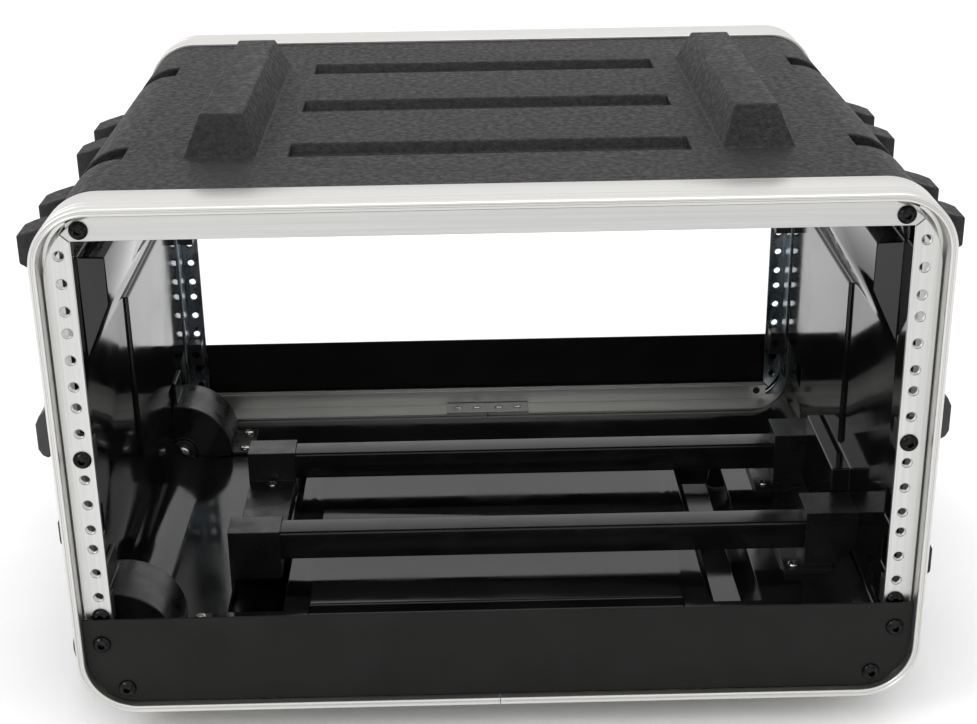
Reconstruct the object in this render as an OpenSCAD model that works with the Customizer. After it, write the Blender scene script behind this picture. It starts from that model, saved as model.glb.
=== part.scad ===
// Six-unit 19-inch equipment rack case with a pull-out handle and wheels.
// Width runs along X, depth along Y with the front at -Y, height along Z.
// The case rests on Z = 0 on the two long ridges under its floor.

/* [Case] */
// Height of the rack space in rack units
rack_units = 6; // [6:1:8]
// Overall width of the aluminium frames
frame_w = 495; // [494:0.5:500]
// Overall depth over both frames
case_d = 434; // [430:1:460]
// Outside corner radius of the frames
corner_r = 34; // [32:1:36]
// Wall thickness of the moulded shell
wall = 4; // [3:0.5:4.5]

/* [Frames] */
// Front-to-back depth of one frame profile
frame_d = 34; // [32:1:38]
// Width of the nose seen from the front
nose_w = 4.6; // [4:0.1:5]
// How far the rack face sits behind the nose
face_set = 10; // [9:0.5:11]
// Thickness of the outer flange that covers the shell's edge
flange_t = 1.6; // [1.2:0.1:1.7]

/* [Rack rails] */
// Half of the clear width between the rails
rail_in = 226; // [225:0.5:227]
// Thickness of the rails and strips
rail_t = 2.5; // [2:0.5:3]
// Radius of the threaded rail holes
hole_r = 3; // [2.5:0.1:3.2]

/* [Ridges and channels] */
// Height of the ridges above the frames
ridge_h = 20; // [18:1:22]
// Sideways place of the two ridges
ridge_x = 156; // [150:1:160]
// Width of a ridge where it meets the shell
ridge_w = 42; // [38:1:46]
// Width of a ridge on its flat top
ridge_top_w = 25; // [22:1:28]
// Length of a ridge where it meets the shell
ridge_l = 234; // [220:1:240]
// Width of a channel at the surface
channel_w = 28; // [24:1:30]
// Half length of the middle channels
channel_x = 117; // [110:1:120]
// Distance from one channel to the next
channel_pitch = 103; // [98:1:106]
// Depth of the channels
channel_depth = 6.5; // [5:0.5:8]

/* [Side handles] */
// Half length of the recess for a side handle
recess_half = 125; // [110:1:128]
// Depth of the recess
recess_depth = 14.7; // [12:0.1:15]
// Half length of the side handle's bar
bail_half = 72; // [60:1:80]
// Drop of the bar below its pivot
bail_drop = 28; // [24:1:30]

/* [Pull-out handle] */
// Distance of each tube from the middle of the case
tube_y = 60; // [55:1:65]
// Height of the tubes' centre line
tube_z = 49; // [47:0.5:52]
// Outside size of the square outer tubes
tube_size = 20.2; // [19:0.1:21]
// Wall of the tubes
tube_wall = 1.2; // [1:0.1:1.4]
// Space left between one tube and the next
tube_gap = 0.3; // [0.2:0.1:0.5]

/* [Wheels] */
// Radius of a wheel
wheel_r = 30; // [26:0.5:30]
// Width of a tyre
wheel_w = 24; // [20:1:26]
// Distance of each wheel from the middle of the case
wheel_y = 139; // [136:1:142]

/* [Hidden] */
$fn = 48;

// 19-inch rack standard
unit = 44.45;
hole_pitch = 15.875;
hole_x = 465.1 / 2;

// Heights
frame_h = rack_units * unit + 45.3;
top_z = ridge_h + frame_h;
mid_z = ridge_h + frame_h / 2;
first_hole_z = mid_z + (rack_units * unit - 12.7) / 2;
last_hole_z = 2 * mid_z - first_hole_z;
strip_z = first_hole_z + 8.1;

// Depths, all given for the front; the rear is the mirror image
nose_y = -case_d / 2;
face_y = nose_y + face_set;
seat_y = face_y + rail_t;
seat_t = 2;
shell_end = case_d / 2 - face_set - rail_t - seat_t - 0.2;

// Insets from the outside of the frames
shell_inset = flange_t + 0.2;
leg_inset = 6;
leg_t = 1.5;
face_inset = nose_w + 0.8;
shell_x = frame_w / 2 - shell_inset;
shell_top = top_z - shell_inset;
channel_edge_x = frame_w / 2 - corner_r - 0.5;
channel_edge_z = top_z - 28;
floor_z = ridge_h + shell_inset + wall;

// Bolts
head_r = 5.25;
head_h = 3.2;
shank_r = 2.95;
strip_bolt_x = 220.5;
strip_bolt_z = first_hole_z + 14.4;
rail_bolt_holes = [8, 15];
panel_bolt_hole = 16;

// Trim panels
panel_top = last_hole_z + 2 * hole_pitch + 0.2;
panel_gap = 3.3;
panel_t = 1.5;
panel_front = face_y - panel_gap - panel_t;

// Pull-out handle, from the floor outwards
bracket_x = -160;
bracket_x0 = bracket_x - 17;
bracket_x1 = bracket_x + 17.5;
bridge_top = floor_z + 12.5;
bridge_screw_y = 43;
housing_x = 207;
inner_wall_x = shell_x - wall;
middle_size = tube_size - 2 * tube_wall - 2 * tube_gap;
inner_size = middle_size - 2 * tube_wall - 2 * tube_gap;
outer_tube_x0 = bracket_x - 12;
outer_tube_x1 = inner_wall_x - 4;
middle_tube_x1 = shell_x + 1.5;
inner_tube_x1 = shell_x + 6;
grip_x0 = shell_x + 2;
grip_x1 = shell_x + 21.5;
grip_half = 84;
grip_half_h = 14;
rod_r = 2.5;
bar_x0 = grip_x0 + 8.5;
bar_x1 = bar_x0 + 5;
button_half = 18;
button_half_h = 5;
button_x1 = grip_x1 + 1.3;

// Wheels and their housings
axle_r = 4;
axle_x = -frame_w / 2 + 11.5;
axle_z = wheel_r + 1;
hub_r = 16;
hub_boss_r = 9;
well_r = wheel_r + 4;
well_half = wheel_w / 2 + 3;
drum_r = well_r + 3.5;
cheek_r = wheel_r - 2.5;
cheek_half = well_half + 7;
boss_r = 11;
boss_half = cheek_half + 3;
axle_head = 3;

// Side handles
bail_x = shell_x - 1.2;
bail_z = top_z - 70;
bail_r = 4;
pin_r = 3;
lug_t = 6;
rivet_y = [-40, 40, -bail_half - 19, bail_half + 19];
recess_low = top_z - 120;
recess_high = top_z - 61;
plate_x = shell_x - recess_depth;
plate_t = 2.5;
grip_r = 7;

// Rows of raised blocks on each side: place along Y, low edge, high edge, reach
block_w = 27;
block_front = case_d / 2 - 72.5;
upper_blocks = [-block_front, -88.5, 22, 80];
upper_block_z = [top_z - 57, top_z - 28];
block_reach = 22.5;
low_block_z = [ridge_h + 75, ridge_h + 102];
foot_block_z = [ridge_h + 42, ridge_h + 71];
keeper_z = mid_z - 2;

// Extrusions of a flat outline along each axis
module along_x(x0, x1)
    translate([x0, 0, 0]) rotate([90, 0, 90]) linear_extrude(x1 - x0) children();
module along_y(y0, y1)
    translate([0, y1, 0]) rotate([90, 0, 0]) linear_extrude(y1 - y0) children();
module along_z(z0, z1)
    translate([0, 0, z0]) linear_extrude(z1 - z0) children();

// Box between two opposite corners
module block(low, high)
    translate(low) cube(high - low);

// Round bar along Y
module rod_y(x, z, r, y0, y1)
    translate([x, y1, z]) rotate([90, 0, 0]) cylinder(r = r, h = y1 - y0);

// Copies on both sides of the case
module left_and_right() {
    children();
    mirror([1, 0, 0]) children();
}
module front_and_rear() {
    children();
    mirror([0, 1, 0]) children();
}

module round_rect(w, h, r) {
    square([w - 2 * r, h], center = true);
    square([w, h - 2 * r], center = true);
    for (sx = [-1, 1], sz = [-1, 1])
        translate([sx * (w / 2 - r), sz * (h / 2 - r)]) circle(r);
}

// Outline of the case, moved inwards
module outline(inset, r = 0)
    translate([0, mid_z])
        round_rect(frame_w - 2 * inset, frame_h - 2 * inset, r > 0 ? r : corner_r - inset);

// Band between two insets of the case outline
module band(inset_out, inset_in, y0, y1)
    along_y(y0, y1)
        difference() {
            outline(inset_out);
            outline(inset_in);
        }

// Ridge on the top of the shell; t moves its faces inwards for the hollow inside
module ridge(t) {
    rise = top_z + ridge_h - shell_top;
    base = ridge_w / 2 - t;
    flat = ridge_top_w / 2 - t * 0.7;
    end_base = ridge_l / 2 - t;
    end_flat = end_base - 17;
    translate([ridge_x, 0, shell_top])
        intersection() {
            along_y(-end_base, end_base)
                polygon([[-base, -8], [base, -8], [base, 0], [flat, rise - t], [-flat, rise - t],
                    [-base, 0]]);
            along_x(-base, base)
                polygon([[-end_base, -8], [end_base, -8], [end_base, 0], [end_flat, rise - t],
                    [-end_flat, rise - t], [-end_base, 0]]);
        }
}

// Channel sunk in the top of the shell between two places along X
module channel(x0, x1, t) {
    half = channel_w / 2 + t;
    floor_half = half - 4;
    along_x(x0 - t, x1 + t)
        translate([0, shell_top])
            polygon([[-half, 12], [half, 12], [half, 0], [floor_half, -channel_depth - t],
                [-floor_half, -channel_depth - t], [-half, 0]]);
}

// Channel that wraps over the rounded edge of the shell
module corner_channel(t) {
    half = channel_w / 2 - 2 + t;
    depth = channel_depth + t;
    along_y(-half, half)
        difference() {
            translate([channel_edge_x - t, channel_edge_z - t]) square([80, 80]);
            translate([0, mid_z])
                round_rect(2 * (shell_x - depth), 2 * (shell_top - mid_z - depth),
                    corner_r - shell_inset - depth);
        }
}

module raised_block(z, y, reach, t) {
    half = block_w / 2 - t;
    root = shell_x - 6;
    shoulder = shell_x + 6;
    far = shell_x + reach;
    intersection() {
        along_y(y - half, y + half)
            polygon([[root, z[0] + t], [shoulder, z[0] + t], [far - t, z[0] + 6 + t],
                [far - t, z[1] - 6 - t], [shoulder, z[1] - 1 - t], [root, z[1] - t]]);
        along_z(z[0], z[1])
            polygon([[root, y - half], [far - 6, y - half], [far - t, y - half + 3],
                [far - t, y + half - 3], [far - 6, y + half], [root, y + half]]);
    }
}

// Recess for a side handle, with a scooped lower side
module handle_recess(t) {
    deep = shell_x - recess_depth - t;
    slope = 32 / recess_depth;
    edge = shell_x - 1.1 * t;
    intersection() {
        along_y(-150, 150)
            polygon([[edge + 10, recess_low - 10 * slope], [deep, recess_low + (edge - deep) * slope],
                [deep, recess_high - 2 + t], [shell_x + 10, recess_high + 2 + t]]);
        along_z(0, top_z)
            polygon([[shell_x + 10, -recess_half - 3 - t], [deep - 1, -recess_half + 6 - t],
                [deep - 1, recess_half - 6 + t], [shell_x + 10, recess_half + 3 + t]]);
    }
}

// Recess behind the pull-out handle's grip
module grip_recess(t)
    block([shell_x - 13 - t, -40 - t, tube_z - 13 - t], [shell_x + 10, 40 + t, tube_z + 32 + t]);

// Raised field moulded in the rear half of each side wall, above the wheels and the tubes
module wall_field()
    block([inner_wall_x - 2.5, -11, axle_z + drum_r + 20], [shell_x - 1, shell_end - 22, recess_low - 6]);

// Whole form of the shell: the outside when t is 0, the hollow inside when t is the wall
module shell_form(t) {
    reach = shell_end + (t > 0 ? 1 : 0);
    difference() {
        union() {
            along_y(-reach, reach) outline(shell_inset + t);
            left_and_right() {
                ridge(t);
                translate([0, 0, 2 * mid_z]) mirror([0, 0, 1]) ridge(t);
                for (y = upper_blocks) raised_block(upper_block_z, y, block_reach, t);
                front_and_rear() raised_block(low_block_z, -block_front, block_reach - 3, t);
            }
            front_and_rear() raised_block(foot_block_z, -block_front, block_reach, t);
        }
        for (i = [-1, 0, 1]) translate([0, i * channel_pitch, 0]) {
            channel(-channel_x, channel_x, t);
            translate([0, 0, 2 * mid_z]) mirror([0, 0, 1]) channel(-channel_x, channel_x, t);
        }
        left_and_right() {
            for (i = [-1, 1]) translate([0, i * channel_pitch, 0]) corner_channel(t);
            handle_recess(t);
        }
        grip_recess(t);
    }
}

// Opening in the lower corner for a wheel and the cheeks beside it
module wheel_cutout(y) {
    rod_y(axle_x, axle_z, well_r, y - well_half - 0.3, y + well_half + 0.3);
    rod_y(axle_x, axle_z, cheek_r + 0.3, y - cheek_half - 0.3, y + cheek_half + 0.3);
    rod_y(axle_x, axle_z, boss_r + 0.3, y - boss_half - axle_head - 0.3, y + boss_half + axle_head + 0.3);
}

module shell() {
    color([0.24, 0.24, 0.25])
    difference() {
        shell_form(0);
        difference() {
            shell_form(wall);
            left_and_right() wall_field();
        }
        for (s = [-1, 1]) {
            block([inner_wall_x - 5, s * tube_y - middle_size / 2 - 1, tube_z - middle_size / 2 - 1],
                [shell_x + 5, s * tube_y + middle_size / 2 + 1, tube_z + middle_size / 2 + 1]);
            wheel_cutout(s * wheel_y);
        }
    }
}

// Bent aluminium profile around one end of the shell
module frame() {
    difference() {
        union() {
            band(0, nose_w, nose_y + 1, seat_y);
            band(0.8, nose_w - 1, nose_y, nose_y + 1);
            band(0, leg_inset + leg_t, seat_y, seat_y + seat_t);
            band(0, flange_t, seat_y + seat_t, nose_y + frame_d);
            band(leg_inset, leg_inset + leg_t, seat_y + seat_t, nose_y + frame_d);
            for (s = [-1, 1]) {
                z = mid_z + s * (frame_h / 2 - 5);
                block([-228, seat_y, min(z, z - s * 15)], [228, seat_y + seat_t, max(z, z - s * 15)]);
            }
        }
        band(1.9, 2.9, nose_y - 1, nose_y + 1.2);
        for (sx = [-1, 1], sz = [-1, 1])
            rod_y(sx * strip_bolt_x, mid_z + sz * (strip_bolt_z - mid_z), hole_r, seat_y - 1, seat_y + 3);
        block([-0.25, nose_y - 1, ridge_h - 1], [0.25, nose_y + frame_d + 1, ridge_h + 30]);
    }
}
module front_frame()
    color([0.86, 0.87, 0.86]) frame();
module rear_frame()
    color([0.86, 0.87, 0.86]) mirror([0, 1, 0]) frame();

// Plate riveted over the joint of a frame
module splice() {
    z = ridge_h + leg_inset + leg_t;
    difference() {
        block([-33, seat_y + seat_t + 1, z], [33, nose_y + frame_d - 1, z + 1.5]);
        for (x = [-24, -9, 9, 24])
            translate([x, nose_y + frame_d - 10, z - 1]) cylinder(r = 2, h = 4);
    }
}
module front_splice()
    color([0.8, 0.81, 0.8]) splice();
module rear_splice()
    color([0.8, 0.81, 0.8]) mirror([0, 1, 0]) splice();

module splice_rivets() {
    z = ridge_h + leg_inset + leg_t + 1.5;
    color([0.7, 0.71, 0.7])
    front_and_rear() for (x = [-24, -9, 9, 24])
        translate([x, nose_y + frame_d - 10, z]) {
            cylinder(r1 = 3.4, r2 = 2.2, h = 1.1);
            translate([0, 0, -1.5]) cylinder(r = 1.95, h = 1.6);
        }
}

// Outline of the recessed face that the strips and rails make up
module face_outline()
    outline(face_inset, corner_r + 5);

module top_strip() {
    difference() {
        along_y(face_y, seat_y)
            intersection() {
                face_outline();
                polygon([[-rail_in, strip_z], [rail_in, strip_z], [rail_in + 22, strip_z + 20],
                    [-rail_in - 22, strip_z + 20]]);
            }
        for (s = [-1, 1])
            rod_y(s * strip_bolt_x, strip_bolt_z, hole_r, face_y - 1, seat_y + 1);
    }
}
module bottom_strip()
    translate([0, 0, 2 * mid_z]) mirror([0, 0, 1]) top_strip();
module front_top_strip()
    color([0.85, 0.86, 0.85]) top_strip();
module front_bottom_strip()
    color([0.85, 0.86, 0.85]) bottom_strip();
module rear_top_strip()
    color([0.85, 0.86, 0.85]) mirror([0, 1, 0]) top_strip();
module rear_bottom_strip()
    color([0.85, 0.86, 0.85]) mirror([0, 1, 0]) bottom_strip();

// Rack rail on the right of the front: a drilled face with a leg behind it
module rail() {
    rise = strip_z + 20 - mid_z;
    difference() {
        union() {
            along_y(face_y, seat_y)
                intersection() {
                    face_outline();
                    translate([0, mid_z])
                        polygon([[rail_in, mid_z - strip_z + 0.5], [rail_in, strip_z - mid_z - 0.5],
                            [rail_in + 22, rise - 0.5], [rail_in + 22, 0.5 - rise]]);
                }
            block([frame_w / 2 - leg_inset - leg_t - 2.1, seat_y, last_hole_z + 5],
                [frame_w / 2 - leg_inset - leg_t - 0.1, nose_y + frame_d, first_hole_z - 5]);
        }
        for (u = [0 : rack_units - 1], i = [0 : 2])
            rod_y(hole_x, first_hole_z - u * unit - i * hole_pitch, hole_r, face_y - 1, seat_y + 0.5);
    }
}
module front_rail_right()
    color([0.84, 0.85, 0.84]) rail();
module front_rail_left()
    color([0.84, 0.85, 0.84]) mirror([1, 0, 0]) rail();
module rear_rail_right()
    color([0.62, 0.68, 0.7]) mirror([0, 1, 0]) rail();
module rear_rail_left()
    color([0.62, 0.68, 0.7]) mirror([1, 0, 0]) mirror([0, 1, 0]) rail();

// Height of a rail hole, counted from the top
function hole_z(n) = first_hole_z - floor(n / 3) * unit - (n % 3) * hole_pitch;

// Tapped blocks behind the rails, one for each rail bolt
module rail_blocks() {
    x1 = frame_w / 2 - leg_inset - leg_t - 2.2;
    color([0.3, 0.3, 0.31])
    front_and_rear() left_and_right() for (n = rail_bolt_holes)
        difference() {
            block([rail_in + 1.5, seat_y, hole_z(n) - 9], [x1, seat_y + 14, hole_z(n) + 9]);
            rod_y(hole_x, hole_z(n), hole_r, seat_y - 1, seat_y + 15);
        }
}

// Trim panel across the bottom of one end, held off the rails by round spacers
module trim_panel() {
    difference() {
        union() {
            along_y(panel_front, panel_front + panel_t)
                intersection() {
                    outline(nose_w + 0.5);
                    translate([-300, 0]) square([600, panel_top]);
                }
            for (s = [-1, 1]) {
                rod_y(s * hole_x, hole_z(panel_bolt_hole), 5, panel_front + 0.5, face_y);
                rod_y(s * strip_bolt_x, 2 * mid_z - strip_bolt_z, 5, panel_front + 0.5, face_y);
            }
        }
        for (s = [-1, 1]) {
            rod_y(s * hole_x, hole_z(panel_bolt_hole), hole_r, panel_front - 1, face_y + 1);
            rod_y(s * strip_bolt_x, 2 * mid_z - strip_bolt_z, hole_r, panel_front - 1, face_y + 1);
        }
    }
}
module front_panel()
    color([0.13, 0.13, 0.13]) trim_panel();
module rear_panel()
    color([0.13, 0.13, 0.13]) mirror([0, 1, 0]) trim_panel();

// Button-head bolt with a hexagon socket, head against the face at y
module bolt(x, z, y, length) {
    dome = 7;
    difference() {
        intersection() {
            translate([x, y + dome - head_h, z]) sphere(dome);
            rod_y(x, z, head_r, y - head_h, y);
        }
        hex_y(x, z, 1.9, y - head_h - 1, y - 0.9);
    }
    rod_y(x, z, shank_r, y - 0.2, y + length);
}
module hex_y(x, z, r, y0, y1)
    translate([x, y1, z]) rotate([90, 0, 0]) cylinder(r = r, h = y1 - y0, $fn = 6);

module end_bolts()
    left_and_right() {
        bolt(strip_bolt_x, strip_bolt_z, face_y, 10);
        for (n = rail_bolt_holes) bolt(hole_x, hole_z(n), face_y, 15);
        bolt(hole_x, hole_z(panel_bolt_hole), panel_front, 12);
        bolt(strip_bolt_x, 2 * mid_z - strip_bolt_z, panel_front, 14);
    }
module front_bolts()
    color([0.1, 0.1, 0.1]) end_bolts();
module rear_bolts()
    color([0.1, 0.1, 0.1]) mirror([0, 1, 0]) end_bolts();

// Square tube along X at one of the two handle lines
module square_tube(side, size, x0, x1) {
    half = size / 2;
    bore = half - tube_wall;
    difference() {
        block([x0, side * tube_y - half, tube_z - half], [x1, side * tube_y + half, tube_z + half]);
        block([x0 - 1, side * tube_y - bore, tube_z - bore], [x1 + 1, side * tube_y + bore, tube_z + bore]);
    }
}
module outer_tube_front()
    color([0.09, 0.09, 0.09]) square_tube(-1, tube_size, outer_tube_x0, outer_tube_x1);
module outer_tube_rear()
    color([0.09, 0.09, 0.09]) square_tube(1, tube_size, outer_tube_x0, outer_tube_x1);
module middle_tube_front()
    color([0.75, 0.76, 0.77]) square_tube(-1, middle_size, outer_tube_x0 + 4, middle_tube_x1);
module middle_tube_rear()
    color([0.75, 0.76, 0.77]) square_tube(1, middle_size, outer_tube_x0 + 4, middle_tube_x1);
module inner_tube_front()
    color([0.78, 0.79, 0.8]) square_tube(-1, inner_size, outer_tube_x0 + 8, inner_tube_x1);
module inner_tube_rear()
    color([0.78, 0.79, 0.8]) square_tube(1, inner_size, outer_tube_x0 + 8, inner_tube_x1);

// Moulding with a socket for the closed end of each outer tube and a low bridge between them
module lower_bracket() {
    half = tube_size / 2 + 1.5;
    hole = tube_size / 2;
    color([0.1, 0.1, 0.1])
    difference() {
        union() {
            for (side = [-1, 1])
                block([bracket_x0, side * tube_y - half, floor_z],
                    [bracket_x1, side * tube_y + half, tube_z + half]);
            block([bracket_x0 + 1, -tube_y, floor_z], [bracket_x1 - 1, tube_y, bridge_top]);
        }
        for (side = [-1, 1]) {
            block([outer_tube_x0, side * tube_y - hole, tube_z - hole],
                [bracket_x1 + 1, side * tube_y + hole, tube_z + hole]);
            translate([bracket_x, side * bridge_screw_y, floor_z - 1])
                cylinder(r = 2, h = bridge_top - floor_z + 2);
        }
    }
}

// Guide block where the tubes leave through the wall
module upper_housing(side) {
    hole = tube_size / 2;
    pass = middle_size / 2 + tube_gap;
    y = side * tube_y;
    difference() {
        intersection() {
            union() {
                block([housing_x, y - 15, floor_z], [inner_wall_x, y + 15, tube_z + 19]);
                block([housing_x - 14, y - 22, floor_z], [inner_wall_x, y + 22, floor_z + 4]);
            }
            along_y(-shell_end, shell_end) outline(shell_inset + wall);
        }
        block([housing_x - 1, y - hole, tube_z - hole], [outer_tube_x1, y + hole, tube_z + hole]);
        block([outer_tube_x1 - 1, y - pass, tube_z - pass], [inner_wall_x + 1, y + pass, tube_z + pass]);
        for (s = [-1, 1])
            translate([housing_x - 7, y + s * 15, floor_z - 1]) cylinder(r = 2, h = 6);
    }
}
module upper_housing_front()
    color([0.09, 0.09, 0.09]) upper_housing(-1);
module upper_housing_rear()
    color([0.09, 0.09, 0.09]) upper_housing(1);

// Pan-head screw standing on the face at z
module floor_screw(x, y, z) {
    translate([x, y, z]) {
        difference() {
            cylinder(r1 = 4, r2 = 3, h = 2);
            for (a = [0, 90]) rotate([0, 0, a]) translate([-2.2, -0.4, 1]) cube([4.4, 0.8, 2]);
        }
        translate([0, 0, -3]) cylinder(r = 1.95, h = 3.1);
    }
}
module bracket_screws()
    color([0.7, 0.7, 0.68])
    for (side = [-1, 1]) {
        floor_screw(bracket_x, side * bridge_screw_y, bridge_top);
        for (s = [-1, 1])
            floor_screw(housing_x - 7, side * tube_y + s * 15, floor_z + 4);
    }

// Grip across both inner tubes, hollow for the release bar
module handle_grip() {
    half = inner_size / 2;
    color([0.11, 0.11, 0.11])
    difference() {
        intersection() {
            along_x(grip_x0, grip_x1)
                translate([0, tube_z]) round_rect(2 * grip_half, 2 * grip_half_h, 9);
            along_z(0, 100)
                translate([(grip_x0 + grip_x1) / 2, 0]) round_rect(grip_x1 - grip_x0, 2 * grip_half, 7);
        }
        block([grip_x0 - 1, -36, tube_z - 20], [grip_x0 + 2.5, 36, tube_z + 20]);
        for (s = [-1, 1])
            block([grip_x0 - 1, s * tube_y - half, tube_z - half],
                [inner_tube_x1, s * tube_y + half, tube_z + half]);
        block([inner_tube_x1 - 0.1, -tube_y - 6, tube_z - 6], [bar_x1 + 0.5, tube_y + 6, tube_z + 6]);
        block([bar_x1, -button_half - 0.3, tube_z - button_half_h - 0.3],
            [grip_x1 + 1, button_half + 0.3, tube_z + button_half_h + 0.3]);
    }
}

module release_button()
    color([0.5, 0.5, 0.5])
    along_x(bar_x1, button_x1)
        translate([0, tube_z]) round_rect(2 * button_half, 2 * button_half_h, 4);

// Cross bar that carries the push from the button to both rods
module release_bar()
    color([0.6, 0.6, 0.6])
    block([bar_x0, -tube_y - 5, tube_z - 5], [bar_x1, tube_y + 5, tube_z + 5]);

module release_rod(side)
    translate([outer_tube_x0 + 30, side * tube_y, tube_z]) rotate([0, 90, 0])
        cylinder(r = rod_r, h = bar_x0 - outer_tube_x0 - 30);
module release_rod_front()
    color([0.7, 0.7, 0.7]) release_rod(-1);
module release_rod_rear()
    color([0.7, 0.7, 0.7]) release_rod(1);

// Drum over a wheel inside the shell, with a cheek on each side of the wheel outside
module wheel_housing(side) {
    y = side * wheel_y;
    difference() {
        union() {
            intersection() {
                union() {
                    rod_y(axle_x, axle_z, drum_r, y - cheek_half, y + cheek_half);
                    block([axle_x, y - 20, floor_z], [axle_x + drum_r + 16, y + 20, floor_z + 3]);
                    block([-inner_wall_x, y - 14, axle_z + 20],
                        [3 - inner_wall_x, y + 14, axle_z + drum_r + 16]);
                }
                along_y(-shell_end, shell_end) outline(shell_inset + wall);
            }
            rod_y(axle_x, axle_z, cheek_r, y - cheek_half, y + cheek_half);
            rod_y(axle_x, axle_z, boss_r, y - boss_half, y + boss_half);
        }
        rod_y(axle_x, axle_z, well_r, y - well_half, y + well_half);
        rod_y(axle_x, axle_z, axle_r, y - 40, y + 40);
        for (s = [-1, 1])
            translate([axle_x + drum_r + 9, y + s * 14, floor_z - 1]) cylinder(r = 2, h = 5);
    }
}
module wheel_housing_front()
    color([0.1, 0.1, 0.1]) wheel_housing(-1);
module wheel_housing_rear()
    color([0.1, 0.1, 0.1]) wheel_housing(1);

module housing_screws()
    color([0.7, 0.7, 0.68])
    for (side = [-1, 1], s = [-1, 1])
        floor_screw(axle_x + drum_r + 9, side * wheel_y + s * 14, floor_z + 3);

module axle(side) {
    y = side * wheel_y;
    rod_y(axle_x, axle_z, axle_r, y - boss_half, y + boss_half);
    for (s = [-1, 1])
        rod_y(axle_x, axle_z, 6.5, y + s * (boss_half + axle_head / 2) - axle_head / 2,
            y + s * (boss_half + axle_head / 2) + axle_head / 2);
}
module axle_front()
    color([0.72, 0.72, 0.7]) axle(-1);
module axle_rear()
    color([0.72, 0.72, 0.7]) axle(1);

module hub(side) {
    y = side * wheel_y;
    difference() {
        union() {
            rod_y(axle_x, axle_z, hub_r, y - wheel_w / 2, y + wheel_w / 2);
            rod_y(axle_x, axle_z, hub_boss_r, y - well_half + 0.5, y + well_half - 0.5);
        }
        rod_y(axle_x, axle_z, axle_r + 0.06, y - 40, y + 40);
    }
}
module hub_front()
    color([0.35, 0.35, 0.36]) hub(-1);
module hub_rear()
    color([0.35, 0.35, 0.36]) hub(1);

module tyre(side)
    translate([axle_x, side * wheel_y, axle_z]) rotate([90, 0, 0])
        rotate_extrude($fn = 64)
            translate([hub_r, -wheel_w / 2])
                polygon([[0, 0], [wheel_r - hub_r - 3, 0], [wheel_r - hub_r - 0.8, 2], [wheel_r - hub_r, 5],
                    [wheel_r - hub_r, wheel_w - 5], [wheel_r - hub_r - 0.8, wheel_w - 2],
                    [wheel_r - hub_r - 3, wheel_w], [0, wheel_w]]);
module tyre_front()
    color([0.07, 0.07, 0.07]) tyre(-1);
module tyre_rear()
    color([0.07, 0.07, 0.07]) tyre(1);

// Plate at the back of the right-hand recess, with a lug at each end for the handle
module handle_plate() {
    lug_y = bail_half + 8;
    difference() {
        union() {
            block([plate_x, -lug_y - 16, recess_high - 26], [plate_x + plate_t, lug_y + 16, recess_high - 3]);
            for (s = [-1, 1]) {
                y0 = s * (lug_y + lug_t / 2) - lug_t / 2;
                block([plate_x, y0, bail_z - 5.5], [bail_x, y0 + lug_t, bail_z + 5.5]);
                rod_y(bail_x, bail_z, 5.5, y0, y0 + lug_t);
            }
        }
        for (s = [-1, 1])
            rod_y(bail_x, bail_z, pin_r + 0.06, s * lug_y - 12, s * lug_y + 12);
        for (y = rivet_y)
            translate([plate_x - 1, y, recess_high - 14]) rotate([0, 90, 0]) cylinder(r = 2.4, h = 5);
    }
}
module handle_plate_right()
    color([0.3, 0.3, 0.31]) handle_plate();
module handle_plate_left()
    color([0.3, 0.3, 0.31]) mirror([1, 0, 0]) handle_plate();

module handle_rivets()
    color([0.5, 0.5, 0.5])
    left_and_right() for (y = rivet_y)
        translate([plate_x, y, recess_high - 14]) rotate([0, 90, 0]) {
            cylinder(r = 2.35, h = plate_t + 0.1);
            translate([0, 0, plate_t]) cylinder(r1 = 4.4, r2 = 3, h = 1.5);
        }

// Steel bail that hangs from the plate's lugs
module side_handle() {
    low = bail_z - bail_drop;
    for (s = [-1, 1]) {
        translate([bail_x, s * bail_half, low]) cylinder(r = bail_r, h = bail_drop);
        translate([bail_x, s * bail_half, low]) sphere(bail_r);
        translate([bail_x, s * bail_half, bail_z]) sphere(bail_r);
        rod_y(bail_x, bail_z, pin_r, s * (bail_half + 7) - 7, s * (bail_half + 7) + 7);
    }
    rod_y(bail_x, low, bail_r, -bail_half, bail_half);
}
module side_handle_right()
    color([0.35, 0.35, 0.36]) side_handle();
module side_handle_left()
    color([0.35, 0.35, 0.36]) mirror([1, 0, 0]) side_handle();

// Soft sleeve on the bail
module side_grip()
    difference() {
        rod_y(bail_x, bail_z - bail_drop, grip_r, -bail_half + 8, bail_half - 8);
        rod_y(bail_x, bail_z - bail_drop, bail_r, -bail_half, bail_half);
    }
module side_grip_right()
    color([0.08, 0.08, 0.08]) side_grip();
module side_grip_left()
    color([0.08, 0.08, 0.08]) mirror([1, 0, 0]) side_grip();

// Catch for a lid latch, hooked at its lower end
module latch_keeper()
    along_y(-block_front - block_w / 2, -block_front + block_w / 2)
        translate([shell_x, keeper_z])
            polygon([[0, -18], [5, -18], [7, -12], [7, -2], [17, -2], [17, -12], [19, -14], [22.5, -12],
                [24.5, -8], [24.5, 8], [22, 13], [18, 17], [17.5, 34], [14, 39], [0, 40]]);
module latch_keeper_front_right()
    color([0.08, 0.08, 0.08]) latch_keeper();
module latch_keeper_front_left()
    color([0.08, 0.08, 0.08]) mirror([1, 0, 0]) latch_keeper();
module latch_keeper_rear_right()
    color([0.08, 0.08, 0.08]) mirror([0, 1, 0]) latch_keeper();
module latch_keeper_rear_left()
    color([0.08, 0.08, 0.08]) mirror([1, 0, 0]) mirror([0, 1, 0]) latch_keeper();

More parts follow.
